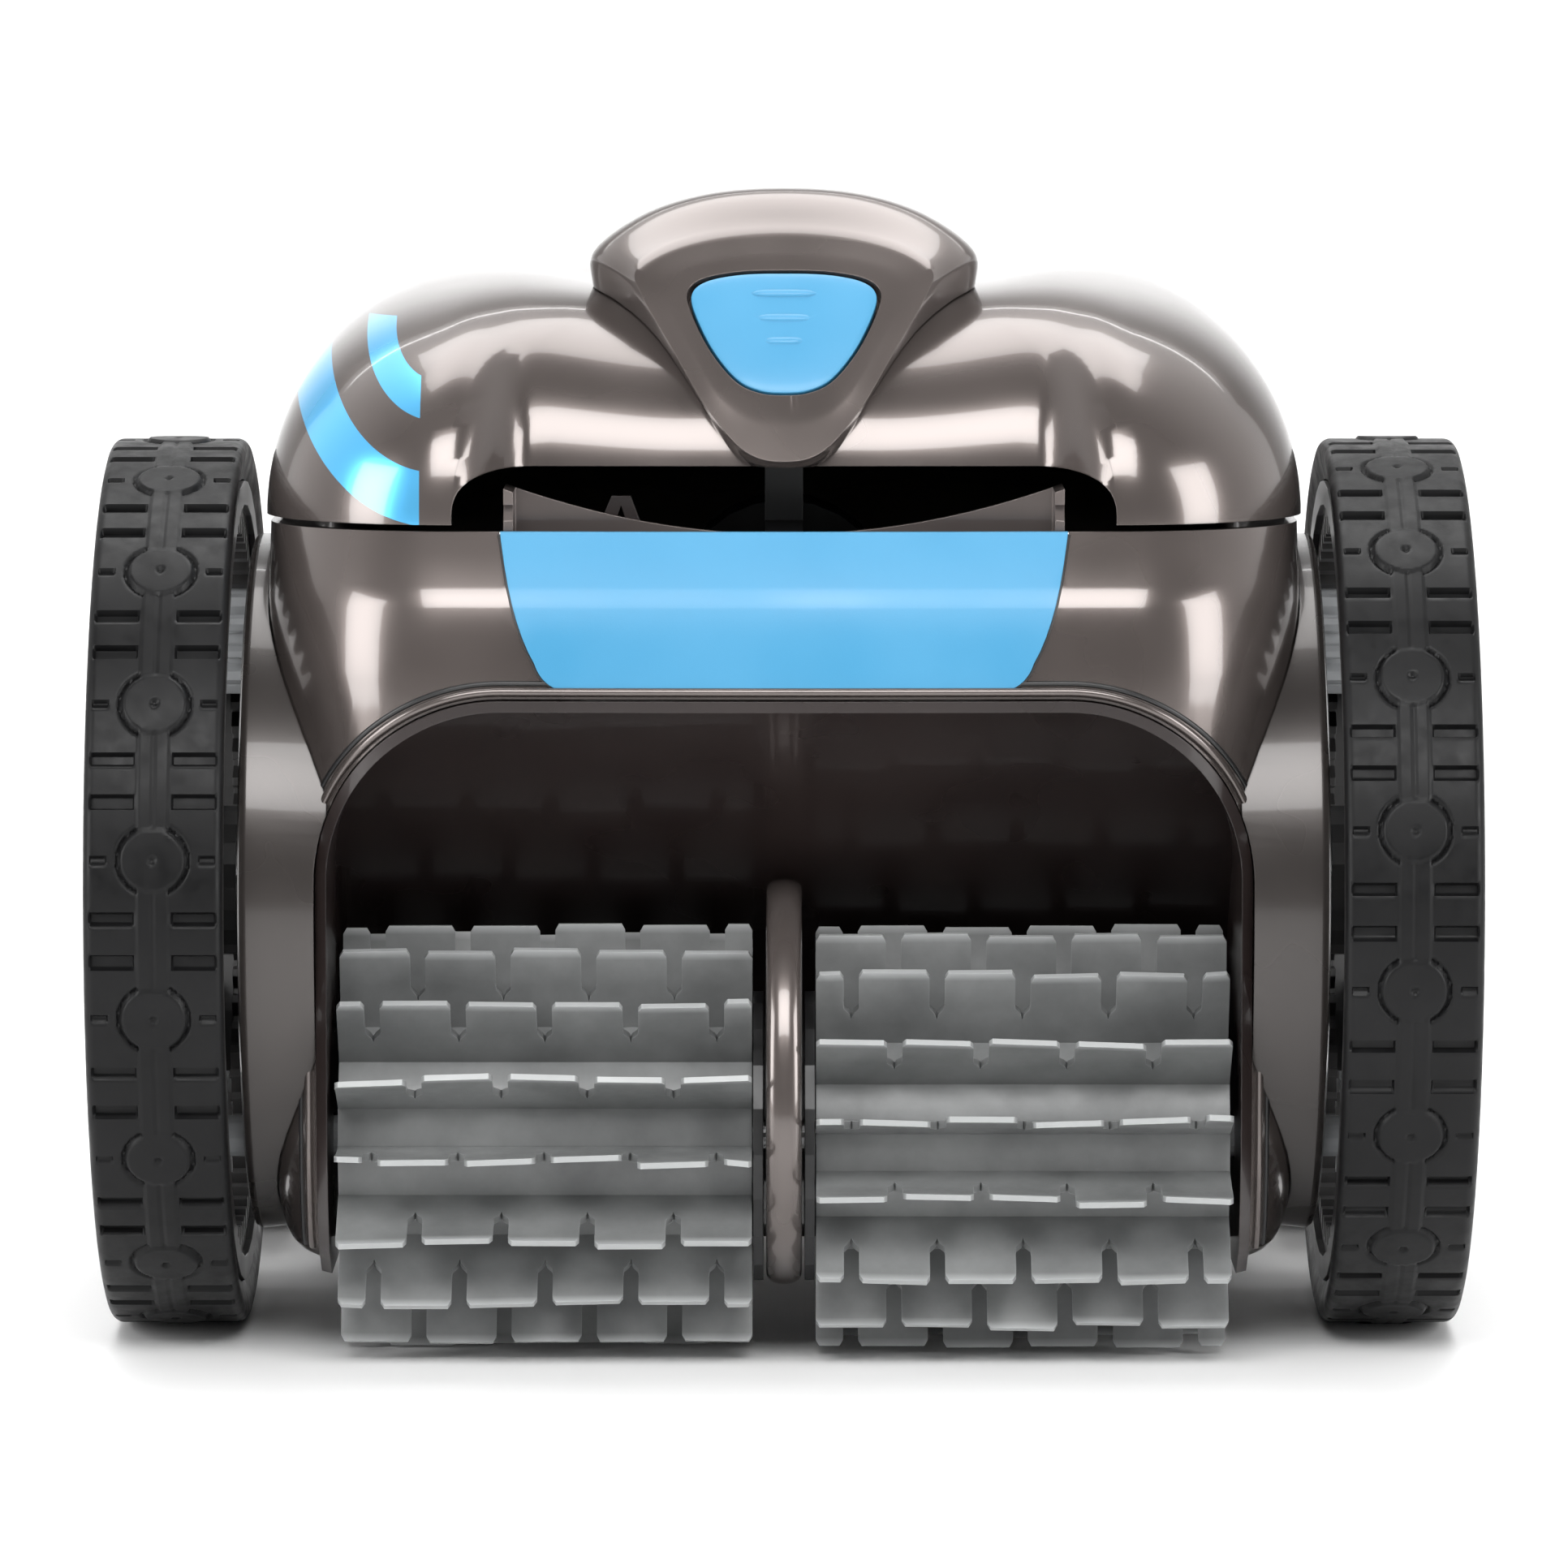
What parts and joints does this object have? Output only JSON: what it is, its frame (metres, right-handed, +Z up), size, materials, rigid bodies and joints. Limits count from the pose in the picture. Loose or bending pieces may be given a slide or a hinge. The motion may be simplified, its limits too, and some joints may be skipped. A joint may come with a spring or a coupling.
{
  "type": "robotic pool cleaner",
  "caption": "Robotic pool cleaner with a domed hinged lid, grip handle with latch button, driven front wheels and geared lamella brushes under an arched hood.",
  "frame": {"origin": "on the floor, below the centre of the bounding box", "axes": "+Z up, the front with the brushes faces -Y, +X is to the right seen from the front"},
  "size_m": [0.43, 0.45, 0.366],
  "materials": {
    "shell": "glossy metallic taupe",
    "hood": "dark brown gloss",
    "blue": "satin blue",
    "blade": "soft grey rubber",
    "tyre": "black moulded tread",
    "rim": "dark grey satin",
    "black": "black satin",
    "pale": "pale grey",
    "mesh": "fine woven mesh",
    "steel": "stainless steel"
  },
  "bodies": {
    "hull": {"chassis": "shell", "upper_shell": "shell", "front_panel": "blue", "brush_hood": "hood", "centre_strut": "shell", "strut_pin": "steel", "side_cover_right": "black", "side_cover_left": "black", "outlet_duct": "hood", "duct_clip": "pale", "pump_housing": "black", "pump_motor": "black", "gear_motor_right": "black", "gear_motor_left": "black", "axle_front_right": "steel", "axle_front_left": "steel", "axle_rear_right": "steel", "axle_rear_left": "steel", "filter_frame": "pale", "filter_mesh": "mesh", "filter_cover": "pale", "cable_gland": "black", "hinge_pin_right": "steel", "hinge_pin_left": "steel"},
    "lid": {"lid": "shell", "handle": "shell", "latch_bracket": "black", "latch_pin": "steel"},
    "latch_button": {"latch_button": "blue"},
    "latch_lever": {"latch_lever": "black"},
    "impeller": {"impeller": "blue"},
    "filter_handle": {"filter_handle": "blue"},
    "inlet_flap": {"inlet_flap": "black"},
    "wheel_front_right": {"rim_front_right": "rim", "tyre_front_right": "tyre", "bush_front_right": "pale", "hubcap_front_right": "black"},
    "wheel_rear_right": {"rim_rear_right": "rim", "tyre_rear_right": "tyre", "hubcap_rear_right": "black"},
    "brush_right": {"brush_skin_right": "blade", "brush_core_right": "hood", "brush_disc_right": "black", "brush_gear_right": "pale"},
    "pinion_right": {"pinion_right": "pale"},
    "wheel_front_left": {"rim_front_left": "rim", "tyre_front_left": "tyre", "bush_front_left": "pale", "hubcap_front_left": "black"},
    "wheel_rear_left": {"rim_rear_left": "rim", "tyre_rear_left": "tyre", "hubcap_rear_left": "black"},
    "brush_left": {"brush_skin_left": "blade", "brush_core_left": "hood", "brush_disc_left": "black", "brush_gear_left": "pale"},
    "pinion_left": {"pinion_left": "pale"}
  },
  "joints": [
    {"name": "lid_hinge", "type": "hinge", "parent": "hull", "child": "lid", "pos_m": [0, 0.218, 0.233], "axis": [-1, 0, 0], "range_deg": [0, 80]},
    {"name": "button_press", "type": "slide", "parent": "lid", "child": "latch_button", "axis": [0, 0.829, -0.5592], "range_m": [0, 0.003], "stiffness_N_per_m": 400, "springref_m": -0.002},
    {"name": "lever_tilt", "type": "hinge", "parent": "lid", "child": "latch_lever", "pos_m": [0, -0.121, 0.315], "axis": [1, 0, 0], "range_deg": [0, 12.6]},
    {"name": "impeller_spin", "type": "hinge", "parent": "hull", "child": "impeller", "pos_m": [0, -0.08, 0.232], "axis": [0, 1, 0], "continuous": true},
    {"name": "bail_swing", "type": "hinge", "parent": "hull", "child": "filter_handle", "pos_m": [0, 0.096, 0.19235], "axis": [-1, 0, 0], "range_deg": [0, 90]},
    {"name": "flap_swing", "type": "hinge", "parent": "hull", "child": "inlet_flap", "pos_m": [0, -0.007, 0.04335], "axis": [-1, 0, 0], "range_deg": [0, 60]},
    {"name": "wheel_front_right_spin", "type": "hinge", "parent": "hull", "child": "wheel_front_right", "pos_m": [0.19, -0.082, 0.143], "axis": [1, 0, 0], "continuous": true},
    {"name": "wheel_rear_right_spin", "type": "hinge", "parent": "hull", "child": "wheel_rear_right", "pos_m": [0.187, 0.145, 0.078], "axis": [1, 0, 0], "continuous": true},
    {"name": "brush_right_spin", "type": "hinge", "parent": "hull", "child": "brush_right", "pos_m": [0.0745, -0.14197, 0.06804], "axis": [1, 0, 0], "continuous": true},
    {"name": "pinion_right_spin", "type": "hinge", "parent": "hull", "child": "pinion_right", "pos_m": [0.165, -0.01398, 0.21493], "axis": [1, 0, 0], "continuous": true},
    {"name": "wheel_front_left_spin", "type": "hinge", "parent": "hull", "child": "wheel_front_left", "pos_m": [-0.19, -0.082, 0.143], "axis": [1, 0, 0], "continuous": true},
    {"name": "wheel_rear_left_spin", "type": "hinge", "parent": "hull", "child": "wheel_rear_left", "pos_m": [-0.187, 0.145, 0.078], "axis": [1, 0, 0], "continuous": true},
    {"name": "brush_left_spin", "type": "hinge", "parent": "hull", "child": "brush_left", "pos_m": [-0.0745, -0.14197, 0.06804], "axis": [1, 0, 0], "continuous": true},
    {"name": "pinion_left_spin", "type": "hinge", "parent": "hull", "child": "pinion_left", "pos_m": [-0.165, -0.01398, 0.21493], "axis": [1, 0, 0], "continuous": true}
  ],
  "couplings": [
    {"joint": "lever_tilt", "follows": "button_press", "rad_per_m": 72.7},
    {"joint": "brush_right_spin", "follows": "wheel_front_right_spin", "ratio": 6.3333},
    {"joint": "pinion_right_spin", "follows": "wheel_front_right_spin", "ratio": 7.6},
    {"joint": "brush_left_spin", "follows": "wheel_front_left_spin", "ratio": 6.3333},
    {"joint": "pinion_left_spin", "follows": "wheel_front_left_spin", "ratio": 7.6}
  ]
}
